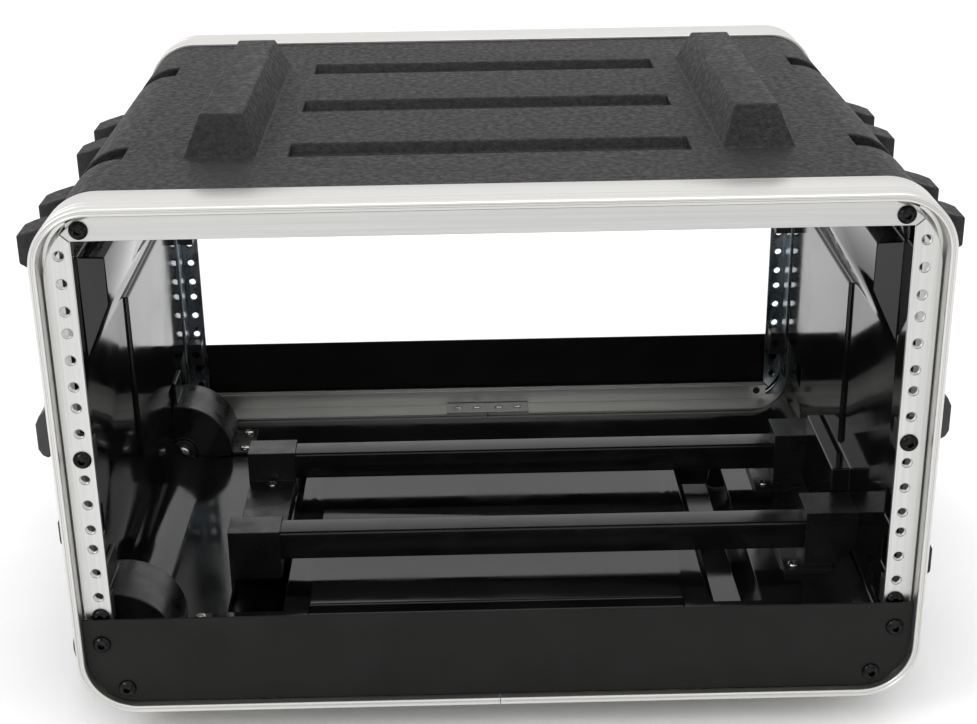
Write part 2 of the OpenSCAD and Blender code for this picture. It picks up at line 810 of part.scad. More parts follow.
shell();
front_frame();
rear_frame();
front_splice();
rear_splice();
splice_rivets();
front_top_strip();
rear_top_strip();
front_bottom_strip();
rear_bottom_strip();
front_rail_left();
front_rail_right();
rear_rail_left();
rear_rail_right();
rail_blocks();
front_panel();
rear_panel();
front_bolts();
rear_bolts();
outer_tube_front();
outer_tube_rear();
middle_tube_front();
middle_tube_rear();
inner_tube_front();
inner_tube_rear();
lower_bracket();
upper_housing_front();
upper_housing_rear();
bracket_screws();
handle_grip();
release_button();
release_bar();
release_rod_front();
release_rod_rear();
wheel_housing_front();
wheel_housing_rear();
housing_screws();
axle_front();
axle_rear();
hub_front();
hub_rear();
tyre_front();
tyre_rear();
handle_plate_left();
handle_plate_right();
side_handle_left();
side_handle_right();
side_grip_left();
side_grip_right();
handle_rivets();
latch_keeper_front_left();
latch_keeper_front_right();
latch_keeper_rear_left();
latch_keeper_rear_right();
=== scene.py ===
# Rack case for six units of 19-inch equipment, dressed piece by piece around its CAD frame.
import math

import bmesh
import bpy
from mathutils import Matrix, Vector
from mathutils.bvhtree import BVHTree


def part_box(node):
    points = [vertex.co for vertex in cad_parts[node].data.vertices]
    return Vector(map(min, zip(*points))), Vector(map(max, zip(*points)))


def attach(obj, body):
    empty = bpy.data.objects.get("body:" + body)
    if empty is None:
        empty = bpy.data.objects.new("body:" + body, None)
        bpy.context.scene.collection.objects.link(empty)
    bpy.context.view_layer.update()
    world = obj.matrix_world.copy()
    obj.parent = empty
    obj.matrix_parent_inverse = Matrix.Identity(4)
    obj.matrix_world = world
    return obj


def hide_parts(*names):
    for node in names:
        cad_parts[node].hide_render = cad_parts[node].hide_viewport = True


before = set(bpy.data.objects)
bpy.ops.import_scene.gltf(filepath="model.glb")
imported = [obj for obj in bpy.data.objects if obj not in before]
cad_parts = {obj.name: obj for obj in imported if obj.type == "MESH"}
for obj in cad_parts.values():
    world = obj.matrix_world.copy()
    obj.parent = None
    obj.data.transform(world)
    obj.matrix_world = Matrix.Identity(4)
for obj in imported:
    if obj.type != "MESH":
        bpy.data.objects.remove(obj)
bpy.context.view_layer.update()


# ---- Camera
# A plain studio camera a metre in front of the case and a little above it, tipped down so that
# the top and the inside both show. It is turned a degree off level, as a hand-held camera is.
scene = bpy.context.scene
lens = bpy.data.cameras.new("studio_camera")
lens.sensor_width = 36
lens.lens = 62.72
lens.clip_end = 60
camera = bpy.data.objects.new("studio_camera", lens)
camera.location = (-0.0154, -1.0697, 0.6)
camera.rotation_euler = [math.radians(turn) for turn in (67.179, 0.801, -1.097)]
scene.collection.objects.link(camera)
scene.camera = camera
scene.view_settings.view_transform = "Standard"


# ---- Studio
# A pale floor all round and soft light: an even white surround, a wide soft box above and a
# smaller one to the left of the camera.
surround = bpy.data.worlds.new("studio")
surround.use_nodes = True
surround.node_tree.nodes["Background"].inputs["Color"].default_value = (1, 1, 1, 1)
surround.node_tree.nodes["Background"].inputs["Strength"].default_value = 1.05
scene.world = surround


def soft_box(name, place, aim, size, power):
    light = bpy.data.lights.new(name, "AREA")
    light.size = size
    light.energy = power
    box = bpy.data.objects.new(name, light)
    box.location = place
    box.rotation_euler = (Vector(aim) - Vector(place)).to_track_quat("-Z", "Y").to_euler()
    scene.collection.objects.link(box)


soft_box("overhead_box", (0.2, 0.3, 1.9), (0, 0, 0.2), 1.6, 14)
soft_box("side_box", (-1.3, -1.1, 1.3), (0, 0, 0.2), 0.7, 8)


class Finish:
    """Even values on the shader itself, and layers of mottling, streaks or pebbles over it, which
    follow the piece's own coordinates, for its colour, gloss and grain"""
    def __init__(self, name, metallic=0.0, specular=0.5, coat=0.0, coat_roughness=0.1):
        self.material = bpy.data.materials.new(name)
        self.material.use_nodes = True
        self.tree = self.material.node_tree
        self.shader = self.tree.nodes["Principled BSDF"]
        self.shader.inputs["Metallic"].default_value = metallic
        self.shader.inputs["Specular IOR Level"].default_value = specular
        self.shader.inputs["Coat Weight"].default_value = coat
        self.shader.inputs["Coat Roughness"].default_value = coat_roughness
        self.place = self.node("ShaderNodeTexCoord").outputs["Object"]
        self.bump = None

    def node(self, kind, **settings):
        made = self.tree.nodes.new(kind)
        for name, value in settings.items():
            setattr(made, name, value)
        return made

    def join(self, source, socket):
        self.tree.links.new(source, socket)

    def use_run(self):
        """The pattern follows the piece's own run map instead of its place"""
        self.place = self.node("ShaderNodeUVMap", uv_map="run").outputs["UV"]

    def mottle(self, scale, detail=3.0, stretch=(1, 1, 1)):
        mapping = self.node("ShaderNodeMapping")
        mapping.inputs["Scale"].default_value = stretch
        self.join(self.place, mapping.inputs["Vector"])
        noise = self.node("ShaderNodeTexNoise")
        noise.inputs["Scale"].default_value = scale
        noise.inputs["Detail"].default_value = detail
        self.join(mapping.outputs["Vector"], noise.inputs["Vector"])
        return noise.outputs["Fac"]

    def pebbles(self, scale):
        cells = self.node("ShaderNodeTexVoronoi", feature="SMOOTH_F1")
        cells.inputs["Scale"].default_value = scale
        cells.inputs["Smoothness"].default_value = 0.4
        self.join(self.place, cells.inputs["Vector"])
        return cells.outputs["Distance"]

    def worn_edges(self):
        """1 along outer edges, where hands and straps rub"""
        geometry = self.node("ShaderNodeNewGeometry")
        return self.spread(geometry.outputs["Pointiness"], 0, 1, 0.52, 0.6)

    def spread(self, value, low, high, start=0.35, end=0.65):
        span = self.node("ShaderNodeMapRange")
        span.inputs["From Min"].default_value = start
        span.inputs["From Max"].default_value = end
        span.inputs["To Min"].default_value = low
        span.inputs["To Max"].default_value = high
        self.join(value, span.inputs["Value"])
        return span.outputs["Result"]

    def tint(self, value, dark, light, start=0.35, end=0.65):
        """Base colour from one shade to another as the layer goes from start to end"""
        ramp = self.node("ShaderNodeValToRGB")
        ramp.color_ramp.elements[0].position = start
        ramp.color_ramp.elements[0].color = (*dark, 1)
        ramp.color_ramp.elements[1].position = end
        ramp.color_ramp.elements[1].color = (*light, 1)
        self.join(value, ramp.inputs["Fac"])
        self.join(ramp.outputs["Color"], self.shader.inputs["Base Color"])
        return ramp.outputs["Color"]

    def overlay(self, under, amount, colour):
        """Another colour over the first, as much as the layer says"""
        mix = self.node("ShaderNodeMix", data_type="RGBA")
        colour_inputs = [s for s in mix.inputs if s.type == "RGBA"]
        colour_inputs[1].default_value = (*colour, 1)
        self.join(under, colour_inputs[0])
        self.join(amount, mix.inputs["Factor"])
        result = [s for s in mix.outputs if s.type == "RGBA"][0]
        self.join(result, self.shader.inputs["Base Color"])
        return result

    def gloss(self, value, low, high, start=0.35, end=0.65):
        self.join(self.spread(value, low, high, start, end), self.shader.inputs["Roughness"])

    def grain(self, value, strength, height):
        """Relief of the given height in metres; later layers lie on earlier ones"""
        bump = self.node("ShaderNodeBump")
        bump.inputs["Strength"].default_value = strength
        bump.inputs["Distance"].default_value = height
        self.join(value, bump.inputs["Height"])
        if self.bump:
            self.join(self.bump, bump.inputs["Normal"])
        self.bump = bump.outputs["Normal"]
        self.join(self.bump, self.shader.inputs["Normal"])


floor_paper = Finish("floor_paper", specular=0.2)
floor_paper.tint(floor_paper.mottle(9, 4), (0.93, 0.93, 0.93), (0.96, 0.96, 0.96))
floor_paper.gloss(floor_paper.mottle(40, 2), 0.75, 0.85)
floor_mesh = bpy.data.meshes.new("floor")
FLOOR_REACH = 6
floor_corners = [(-1, -1), (1, -1), (1, 1), (-1, 1)]
floor_mesh.from_pydata([(FLOOR_REACH * x, FLOOR_REACH * y, 0) for x, y in floor_corners], [], [range(4)])
floor_mesh.materials.append(floor_paper.material)
floor = bpy.data.objects.new("floor", floor_mesh)
scene.collection.objects.link(floor)


# ---- Shell
# One skin of black plastic about 4 mm thick. Its outside is pebbled and dull, to hide scuffs,
# and its inside, which lay against the polished mould, is glossy.
MM = 0.001


def placed(name, mesh, *finishes):
    """The mesh as an object at the origin, with its finishes"""
    for finish in finishes:
        mesh.materials.append(finish.material)
    piece = bpy.data.objects.new(name, mesh)
    scene.collection.objects.link(piece)
    return piece


def fasten(piece, body, slot, *nodes):
    """The piece moves with its body and stands for its CAD nodes, which it hides; slot is not used"""
    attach(piece, body)
    if nodes:
        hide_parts(*nodes)


def merged_copy(node, sort_face=None):
    """The CAD node's form in whole faces; sort_face picks each one's finish"""
    form = bmesh.new()
    form.from_mesh(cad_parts[node].data)
    bmesh.ops.remove_doubles(form, verts=form.verts, dist=0.003 * MM)
    tree = BVHTree.FromBMesh(form)
    for face in form.faces:
        face.smooth = True
        face.material_index = sort_face(face, tree) if sort_face else 0
    bmesh.ops.dissolve_limit(form, angle_limit=math.radians(0.6), verts=form.verts, edges=form.edges,
                             delimit={"MATERIAL"})
    return form


def ease_edges(piece, width, segments=2, angle=32, slide=False):
    """Rounds the piece's edges, and keeps its broad faces flat"""
    piece.data.set_sharp_from_angle(angle=math.radians(angle))
    bevel = piece.modifiers.new("eased_edges", "BEVEL")
    bevel.width = width * MM
    bevel.segments = segments
    bevel.limit_method = "ANGLE"
    bevel.angle_limit = math.radians(angle)
    bevel.harden_normals = True
    bevel.use_clamp_overlap = False
    bevel.miter_outer = "MITER_SHARP"
    bevel.loop_slide = slide


def eased(node, finish, width, segments=2, angle=32):
    """A finished piece with the form of a CAD node and rounded edges"""
    form = merged_copy(node)
    mesh = bpy.data.meshes.new(node + "_piece")
    form.to_mesh(mesh)
    form.free()
    piece = placed(node + "_piece", mesh, finish)
    ease_edges(piece, width, segments, angle)
    return piece


frame_low, frame_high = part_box("front_frame")
CASE_MID_Z = (frame_low.z + frame_high.z) / 2
CORE_INSET = 60 * MM
CORE_X = frame_high.x - CORE_INSET
CORE_Z = (frame_high.z - frame_low.z) / 2 - CORE_INSET
SKIN_REACH = 80 * MM

pebbled = Finish("pebbled_shell", specular=0.22)
pebble_mottle = pebbled.mottle(420, 3)
pebble_tone = pebbled.tint(pebble_mottle, (0.0035, 0.0035, 0.0035), (0.014, 0.0138, 0.0135), 0.34, 0.7)
pebbled.overlay(pebble_tone, pebbled.worn_edges(), (0.03, 0.03, 0.0305))
pebbled.gloss(pebbled.mottle(260, 2), 0.5, 0.72)
pebbled.grain(pebbled.pebbles(620), 0.55, 0.5 * MM)
pebbled.grain(pebble_mottle, 0.5, 0.45 * MM)

polished = Finish("polished_shell", specular=0.5)
polished.tint(polished.mottle(14, 4), (0.0035, 0.0035, 0.0038), (0.0075, 0.0075, 0.0075))
polished.gloss(polished.mottle(22, 6), 0.07, 0.16, 0.4, 0.7)
polished.grain(polished.mottle(95, 2), 0.12, 0.12 * MM)


def faces_inwards(face, tree):
    """1 for a face on the inner side: a line from it straight out meets the skin again"""
    centre = face.calc_center_median()
    core = Vector((max(-CORE_X, min(CORE_X, centre.x)), centre.y,
                   CASE_MID_Z + max(-CORE_Z, min(CORE_Z, centre.z - CASE_MID_Z))))
    out = (centre - core).normalized()
    start = centre + face.normal * 0.2 * MM
    return 1 if tree.ray_cast(start, out, SKIN_REACH)[0] else 0


shell_form = merged_copy("shell", faces_inwards)
shell_mesh = bpy.data.meshes.new("shell_skin")
shell_form.to_mesh(shell_mesh)
shell_form.free()
shell = placed("shell_skin", shell_mesh, pebbled, polished)
ease_edges(shell, 1.2, 3, 30, slide=True)
fasten(shell, "case", "shell", "shell")


# ---- End frames
# Each end of the shell is held in a satin aluminium extrusion, bent round all four corners and
# closed at the middle of its lower side. It has a beaded nose, a wide outer flange with fine
# grooves, and an inner leg, and the shell's edge is held between the two.
FRAME_HALF_W = frame_high.x
FRAME_HALF_H = (frame_high.z - frame_low.z) / 2
FRAME_CORNER = 34 * MM
FRAME_DEPTH = frame_high.y - frame_low.y
NOSE_Y = frame_low.y
NOSE_W = 4.6 * MM
SLOT_DEPTH = 0.8 * MM
SLOT_START = 1.1 * MM
SLOT_END = 3.4 * MM
GROOVES = (12.2, 7.6, 5.4)
GROOVE_W = 0.9 * MM
GROOVE_SINK = 0.45 * MM
FLANGE_WALL = 1.6 * MM
FACE_SET = 10 * MM
SEAT = FACE_SET + 2.5 * MM
LEG_IN = 6 * MM
LEG_OUT = 7.5 * MM
CORNER_STEPS = 16
SEAT_HALF = 228 * MM
SEAT_W = 12 * MM
SEAT_SHEET = 2 * MM


def frame_run(gap):
    """Points round the frame from the middle of its lower side: place, outward direction, run"""
    points = [(gap, CASE_MID_Z - FRAME_HALF_H, 0, -1)]
    for side, level, start in ((1, -1, -90), (1, 1, 0), (-1, 1, 90), (-1, -1, 180)):
        centre_x = side * (FRAME_HALF_W - FRAME_CORNER)
        centre_z = CASE_MID_Z + level * (FRAME_HALF_H - FRAME_CORNER)
        for step in range(CORNER_STEPS + 1):
            turn = math.radians(start + 90 * step / CORNER_STEPS)
            out_x, out_z = math.cos(turn), math.sin(turn)
            points.append((centre_x + FRAME_CORNER * out_x, centre_z + FRAME_CORNER * out_z, out_x, out_z))
    points.append((-gap, CASE_MID_Z - FRAME_HALF_H, 0, -1))
    return points


def bead(inset, width, height, steps=8):
    """Half-round bead on the nose, as insets and depths"""
    turns = [math.pi * step / steps for step in range(steps + 1)]
    return [(inset + width / 2 * (1 - math.cos(turn)), height * (1 - math.sin(turn))) for turn in turns]


def groove(depth_at, width, sink):
    """Fine groove in the outer flange, from its back edge to its front edge"""
    half = width / 2
    return [(0, depth_at + half), (sink, depth_at + half * 0.45),
            (sink, depth_at - half * 0.45), (0, depth_at - half)]


def frame_profile():
    """Section of the extrusion, as insets from the outside and depths behind the nose, in metres"""
    back = FRAME_DEPTH
    section = [(0.5 * MM, back), (0.15 * MM, back - 0.25 * MM), (0, back - 0.7 * MM)]
    for depth_at in GROOVES:
        section += groove(depth_at * MM, GROOVE_W, GROOVE_SINK)
    nose = bead(0, 2.05 * MM, 1.9 * MM) + bead(2.45 * MM, 2.15 * MM, 1.5 * MM)
    section += [(inset, min(depth, SLOT_DEPTH) if SLOT_START < inset < SLOT_END else depth)
                for inset, depth in nose]
    section += [(NOSE_W, FACE_SET + 1.6 * MM), (NOSE_W + 0.9 * MM, SEAT), (LEG_OUT, SEAT)]
    section += [(LEG_OUT, back - 0.4 * MM), (LEG_OUT - 0.4 * MM, back), (LEG_IN, back)]
    section += [(LEG_IN, SEAT + SEAT_SHEET), (FLANGE_WALL, SEAT + SEAT_SHEET), (FLANGE_WALL, back)]
    return section


def smooth_mesh(form, name, sharp):
    """The form as a mesh with outward faces, smooth but for edges sharper than the angle"""
    bmesh.ops.recalc_face_normals(form, faces=form.faces)
    for face in form.faces:
        face.smooth = True
    mesh = bpy.data.meshes.new(name)
    form.to_mesh(mesh)
    form.free()
    mesh.set_sharp_from_angle(angle=math.radians(sharp))
    return mesh


def frame_mesh(name, facing):
    """The extrusion bent round the case; facing is -1 at the front and 1 at the rear"""
    run = frame_run(0.25 * MM)
    section = frame_profile()
    form = bmesh.new()
    run_map = form.loops.layers.uv.new("run")
    rows = []
    for x, z, out_x, out_z in run:
        rows.append([form.verts.new((x - out_x * inset, facing * (-NOSE_Y - depth), z - out_z * inset))
                     for inset, depth in section])
    along = [0.0]
    for start, end in zip(run, run[1:]):
        along.append(along[-1] + math.hypot(end[0] - start[0], end[1] - start[1]))
    across = [0.0]
    for start, end in zip(section, section[1:] + section[:1]):
        across.append(across[-1] + math.hypot(end[0] - start[0], end[1] - start[1]))
    count = len(section)
    for i in range(len(rows) - 1):
        for j in range(count):
            k = (j + 1) % count
            face = form.faces.new((rows[i][j], rows[i][k], rows[i + 1][k], rows[i + 1][j]))
            spots = ((along[i], across[j]), (along[i], across[j + 1]),
                     (along[i + 1], across[j + 1]), (along[i + 1], across[j]))
            for loop, spot in zip(face.loops, spots):
                loop[run_map].uv = spot
    form.faces.new(rows[0])
    form.faces.new(reversed(rows[-1]))
    return smooth_mesh(form, name, 32)


def satin_metal(name, dark, light, roughness, stretch, by_run=False):
    """Satin metal with faint die lines, which run where the stretch is smallest"""
    metal = Finish(name, metallic=1.0)
    if by_run:
        metal.use_run()
    metal.tint(metal.mottle(1, 3, stretch), dark, light, 0.3, 0.7)
    metal.gloss(metal.mottle(1, 4, [3 * s for s in stretch]), roughness - 0.06, roughness + 0.08)
    metal.grain(metal.mottle(1, 2, stretch), 0.16, 0.06 * MM)
    return metal


frame_metal = satin_metal("satin_frame", (0.60, 0.595, 0.575), (0.68, 0.672, 0.65), 0.34, (3, 1500, 1), True)


def box_form(form, low, high):
    """Adds a plain block to a form"""
    corners = [form.verts.new((x, y, z))
               for x in (low[0], high[0]) for y in (low[1], high[1]) for z in (low[2], high[2])]
    for loop in ((0, 1, 3, 2), (4, 6, 7, 5), (0, 4, 5, 1), (2, 3, 7, 6), (0, 2, 6, 4), (1, 5, 7, 3)):
        form.faces.new([corners[i] for i in loop])


def strip_seats(name, facing):
    """The two flat seats inside a frame that the strips are bolted to"""
    form = bmesh.new()
    for level in (-1, 1):
        edge = CASE_MID_Z + level * (FRAME_HALF_H - LEG_OUT + 0.2 * MM)
        inner = edge - level * SEAT_W
        ys = sorted((facing * (-NOSE_Y - SEAT), facing * (-NOSE_Y - SEAT - SEAT_SHEET)))
        box_form(form, (-SEAT_HALF, ys[0], min(edge, inner)), (SEAT_HALF, ys[1], max(edge, inner)))
    bmesh.ops.recalc_face_normals(form, faces=form.faces)
    mesh = bpy.data.meshes.new(name)
    form.to_mesh(mesh)
    form.free()
    return mesh


strip_metal = satin_metal("satin_strips", (0.50, 0.505, 0.49), (0.56, 0.565, 0.55), 0.38, (6, 900, 900))
for end, facing in (("front", -1), ("rear", 1)):
    ring = placed(end + "_frame_extrusion", frame_mesh(end + "_frame_extrusion", facing), frame_metal)
    fasten(ring, "case", "frame_metal", end + "_frame")
    seats = placed(end + "_frame_seats", strip_seats(end + "_frame_seats", facing), strip_metal)
    ease_edges(seats, 0.3)
    fasten(seats, "case", "frame_metal")


# ---- Fasteners
# Bolts, screws, rivets and the threads in the rails are each made once, as a stack of rings about
# their own axis, and then set out over a row of points.
def band(form, near, far):
    """Faces between two rings of points"""
    for i in range(len(near)):
        j = (i + 1) % len(near)
        form.faces.new((near[i], near[j], far[j], far[i]))


def ring_stack(name, rings, segments=32):
    """Closed form from rings of (shape, radius, height) in millimetres, from the outer end inwards"""
    form = bmesh.new()
    rows = []
    for shape, radius, height in rings:
        row = []
        for step in range(segments):
            turn = 2 * math.pi * step / segments
            reach = shape(turn) * radius * MM
            row.append(form.verts.new((reach * math.cos(turn), reach * math.sin(turn), height * MM)))
        rows.append(row)
    for near, far in zip(rows, rows[1:]):
        band(form, near, far)
    form.faces.new(rows[0])
    form.faces.new(reversed(rows[-1]))
    return placed(name, smooth_mesh(form, name, 38))


def round_ring(turn):
    return 1.0


def round_rings(*rings):
    """A turned stretch of a ring stack, from pairs of radius and height"""
    return [(round_ring, radius, height) for radius, height in rings]


def hex_ring(turn):
    """Hexagon with its corners at radius 1"""
    beside = (turn + math.pi / 6) % (math.pi / 3) - math.pi / 6
    return math.cos(math.pi / 6) / math.cos(math.pi / 6 - abs(beside))


def cross_ring(turn):
    """Cross with arms of length 1"""
    beside = (turn + math.pi / 4) % (math.pi / 2) - math.pi / 4
    return min(1 / math.cos(beside), 0.24 / max(abs(math.sin(beside)), 1e-6))


def setting_out_tree():
    """Node tree that sets a fastener out over points, turned one way and spun a little at random"""
    tree = bpy.data.node_groups.new("set_out_fasteners", "GeometryNodeTree")
    tree.interface.new_socket("Points", in_out="INPUT", socket_type="NodeSocketGeometry")
    tree.interface.new_socket("Fastener", in_out="INPUT", socket_type="NodeSocketObject")
    tree.interface.new_socket("Facing", in_out="INPUT", socket_type="NodeSocketRotation")
    tree.interface.new_socket("Spin", in_out="INPUT", socket_type="NodeSocketFloat")
    tree.interface.new_socket("Seed", in_out="INPUT", socket_type="NodeSocketInt")
    tree.interface.new_socket("Finish", in_out="INPUT", socket_type="NodeSocketMaterial")
    tree.interface.new_socket("Fasteners", in_out="OUTPUT", socket_type="NodeSocketGeometry")
    start = tree.nodes.new("NodeGroupInput")
    end = tree.nodes.new("NodeGroupOutput")
    master = tree.nodes.new("GeometryNodeObjectInfo")
    spin = tree.nodes.new("FunctionNodeRandomValue")
    spin.data_type = "FLOAT"
    axis_turn = tree.nodes.new("FunctionNodeAxisAngleToRotation")
    aim = tree.nodes.new("FunctionNodeRotateRotation")
    aim.rotation_space = "LOCAL"
    copies = tree.nodes.new("GeometryNodeInstanceOnPoints")
    real = tree.nodes.new("GeometryNodeRealizeInstances")
    paint = tree.nodes.new("GeometryNodeSetMaterial")
    spin_sockets = {s.identifier: s for s in spin.inputs}
    join = tree.links.new
    join(start.outputs["Fastener"], master.inputs["Object"])
    join(start.outputs["Spin"], spin_sockets["Max_001"])
    join(start.outputs["Seed"], spin_sockets["Seed"])
    float_spin = [s for s in spin.outputs if s.type == "VALUE" and s.enabled][0]
    join(float_spin, axis_turn.inputs["Angle"])
    join(start.outputs["Facing"], aim.inputs["Rotation"])
    join(axis_turn.outputs["Rotation"], aim.inputs["Rotate By"])
    join(start.outputs["Points"], copies.inputs["Points"])
    join(master.outputs["Geometry"], copies.inputs["Instance"])
    join(aim.outputs["Rotation"], copies.inputs["Rotation"])
    join(copies.outputs["Instances"], real.inputs["Geometry"])
    join(real.outputs["Geometry"], paint.inputs["Geometry"])
    join(start.outputs["Finish"], paint.inputs["Material"])
    join(paint.outputs["Geometry"], end.inputs["Fasteners"])
    return tree


SETTING_OUT = setting_out_tree()
FACING = {"front": (math.radians(90), 0, 0), "rear": (math.radians(-90), 0, 0), "up": (0, 0, 0),
          "right": (0, math.radians(90), 0), "left": (0, math.radians(-90), 0)}


def set_out(name, master, points, facing, finish, spin=0.0, seed=1):
    """The fastener at each point, as one plain mesh"""
    mesh = bpy.data.meshes.new(name + "_points")
    mesh.from_pydata(points, [], [])
    carrier = bpy.data.objects.new(name + "_points", mesh)
    scene.collection.objects.link(carrier)
    tool = carrier.modifiers.new("set_out", "NODES")
    tool.node_group = SETTING_OUT
    inputs = {s.name: s.identifier for s in SETTING_OUT.interface.items_tree if s.in_out == "INPUT"}
    tool[inputs["Fastener"]] = master
    tool[inputs["Facing"]] = FACING[facing]
    tool[inputs["Spin"]] = spin
    tool[inputs["Seed"]] = seed
    tool[inputs["Finish"]] = finish.material
    evaluated = carrier.evaluated_get(bpy.context.evaluated_depsgraph_get())
    baked = bpy.data.meshes.new_from_object(evaluated)
    baked.name = name
    bpy.data.objects.remove(carrier)
    return placed(name, baked)


def joined(name, pieces):
    """Several pieces as one"""
    form = bmesh.new()
    for piece in pieces:
        form.from_mesh(piece.data)
    mesh = bpy.data.meshes.new(name)
    form.to_mesh(mesh)
    form.free()
    for material in pieces[0].data.materials:
        mesh.materials.append(material)
    for piece in pieces:
        bpy.data.objects.remove(piece)
    return placed(name, mesh)


# ---- Strips and rack rails
# A flat aluminium strip closes the top and the bottom of each end, and between them stand the
# drilled rack rails, with three tapped holes for each unit. The holes are pierced and drawn
# through, so each has a threaded collar behind it. The rear rails are zinc-plated steel.
UNIT = 44.45 * MM
HOLE_PITCH = 15.875 * MM
HOLE_X = 465.1 / 2 * MM
UNITS = 6
FIRST_HOLE_Z = CASE_MID_Z + (UNITS * UNIT - 12.7 * MM) / 2
FACE_Y = -NOSE_Y - FACE_SET
BOLTED_HOLES = (8, 15)
PANEL_HOLE = 16


def hole_z(number):
    """Height of a rail hole, counted down from the top one"""
    return FIRST_HOLE_Z - number // 3 * UNIT - number % 3 * HOLE_PITCH


def thread_master():
    """Drawn collar behind a rail hole, with a thread winding through hole and collar"""
    collar = ring_stack("thread_collar", round_rings(
        (3.0, -2.3), (4.1, -2.35), (3.85, -2.8), (3.75, -3.2),
        (3.6, -3.4), (3.15, -3.4), (3.0, -3.25), (3.0, -2.31)))
    form = bmesh.new()
    form.from_mesh(collar.data)
    form.faces.ensure_lookup_table()
    bmesh.ops.delete(form, geom=[f for f in form.faces if len(f.verts) > 4], context="FACES_ONLY")
    steps_per_turn = 20
    pitch = 1.0
    turns = 2.7
    rows = []
    for step in range(int(steps_per_turn * turns) + 1):
        turn = 2 * math.pi * step / steps_per_turn
        height = -0.5 - pitch * step / steps_per_turn
        row = []
        for radius, rise in ((3.05, 0.42), (2.58, 0.06), (2.58, -0.06), (3.05, -0.42)):
            row.append(form.verts.new((radius * MM * math.cos(turn), radius * MM * math.sin(turn),
                                       (height + rise) * MM)))
        rows.append(row)
    for near, far in zip(rows, rows[1:]):
        band(form, near, far)
    form.faces.new(rows[0])
    form.faces.new(reversed(rows[-1]))
    bmesh.ops.recalc_face_normals(form, faces=form.faces)
    mesh = bpy.data.meshes.new("rail_thread")
    form.to_mesh(mesh)
    form.free()
    bpy.data.objects.remove(collar)
    return placed("rail_thread", mesh)


rail_metal = satin_metal("satin_rails", (0.54, 0.545, 0.53), (0.61, 0.615, 0.60), 0.36, (900, 900, 6))
zinc = satin_metal("zinc_rails", (0.30, 0.36, 0.40), (0.44, 0.50, 0.54), 0.26, (60, 60, 20))
thread = thread_master()
plain_holes = [n for n in range(3 * UNITS) if n not in BOLTED_HOLES and n != PANEL_HOLE]
RAIL_ENDS = (("front", -1, rail_metal, "rail_metal"), ("rear", 1, zinc, "rear_rail_metal"))
for end, facing, metal, slot in RAIL_ENDS:
    for level in ("top", "bottom"):
        node = f"{end}_{level}_strip"
        fasten(eased(node, strip_metal, 0.45), "case", "rail_metal", node)
    for side in ("left", "right"):
        node = f"{end}_rail_{side}"
        fasten(eased(node, metal, 0.33), "case", slot, node)
    spots = [(s * HOLE_X, facing * FACE_Y, hole_z(n)) for s in (-1, 1) for n in plain_holes]
    threads = set_out(end + "_rail_threads", thread, spots, end, metal, 0.6, 3)
    fasten(threads, "case", slot)
bpy.data.objects.remove(thread)

black_steel = Finish("black_steel", specular=0.5)
black_steel.tint(black_steel.mottle(60, 3), (0.012, 0.012, 0.013), (0.026, 0.026, 0.027))
black_steel.gloss(black_steel.mottle(150, 3), 0.3, 0.46)
black_steel.grain(black_steel.mottle(900, 2), 0.25, 0.08 * MM)
fasten(eased("rail_blocks", black_steel, 0.5), "case", "black_steel", "rail_blocks")


# ---- Trim panels
# A sheet of steel, powder-coated satin black, across the bottom of each end. Its lower corners
# follow the frame, and four bolts hold it off the rails on round spacers.
panel_paint = Finish("panel_paint", specular=0.16)
panel_paint.tint(panel_paint.mottle(35, 3), (0.0065, 0.0065, 0.006), (0.009, 0.009, 0.0085))
panel_paint.gloss(panel_paint.mottle(25, 5), 0.36, 0.48)
panel_paint.grain(panel_paint.mottle(1300, 2), 0.22, 0.07 * MM)
for end in ("front", "rear"):
    fasten(eased(end + "_panel", panel_paint, 0.3), "case", "panel_paint", end + "_panel")


# ---- Rack bolts
# M6 button-head bolts of blackened steel with a hexagon socket. At each end two hold the top
# strip to the frame, four hold the rails to the blocks behind them, and four hold the panel.
black_bolt = Finish("blackened_bolts", metallic=1.0)
black_bolt.tint(black_bolt.mottle(500, 3), (0.010, 0.010, 0.010), (0.026, 0.026, 0.026))
black_bolt.gloss(black_bolt.mottle(800, 3), 0.14, 0.24)
black_bolt.grain(black_bolt.mottle(1500, 2), 0.15, 0.04 * MM)
BOLT_HEAD = round_rings((2.6, -10), (2.9, -9.4), (2.9, 0), (5.15, 0), (5.25, 0.15), (5.22, 0.6),
                        (4.95, 1.15), (4.45, 1.75), (3.8, 2.3), (3.1, 2.75), (2.6, 2.98), (2.3, 3.02))
BOLT_HEAD += [(hex_ring, 2.2, 2.9), (hex_ring, 2.15, 0.9)]
bolt = ring_stack("bolt", BOLT_HEAD, 36)
panel_face_y = -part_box("front_panel")[0].y
STRIP_BOLT_X = 220.5 * MM
STRIP_BOLT_Z = FIRST_HOLE_Z + 14.4 * MM
lower_bolt_z = 2 * CASE_MID_Z - STRIP_BOLT_Z
for end, facing in (("front", -1), ("rear", 1)):
    spots = []
    for s in (-1, 1):
        spots.append((s * STRIP_BOLT_X, facing * FACE_Y, STRIP_BOLT_Z))
        spots += [(s * HOLE_X, facing * FACE_Y, hole_z(n)) for n in BOLTED_HOLES]
        spots.append((s * HOLE_X, facing * panel_face_y, hole_z(PANEL_HOLE)))
        spots.append((s * STRIP_BOLT_X, facing * panel_face_y, lower_bolt_z))
    bolts = set_out(end + "_rack_bolts", bolt, spots, end, black_bolt, 1.0, 5)
    fasten(bolts, "case", "black_bolt", end + "_bolts")
bpy.data.objects.remove(bolt)


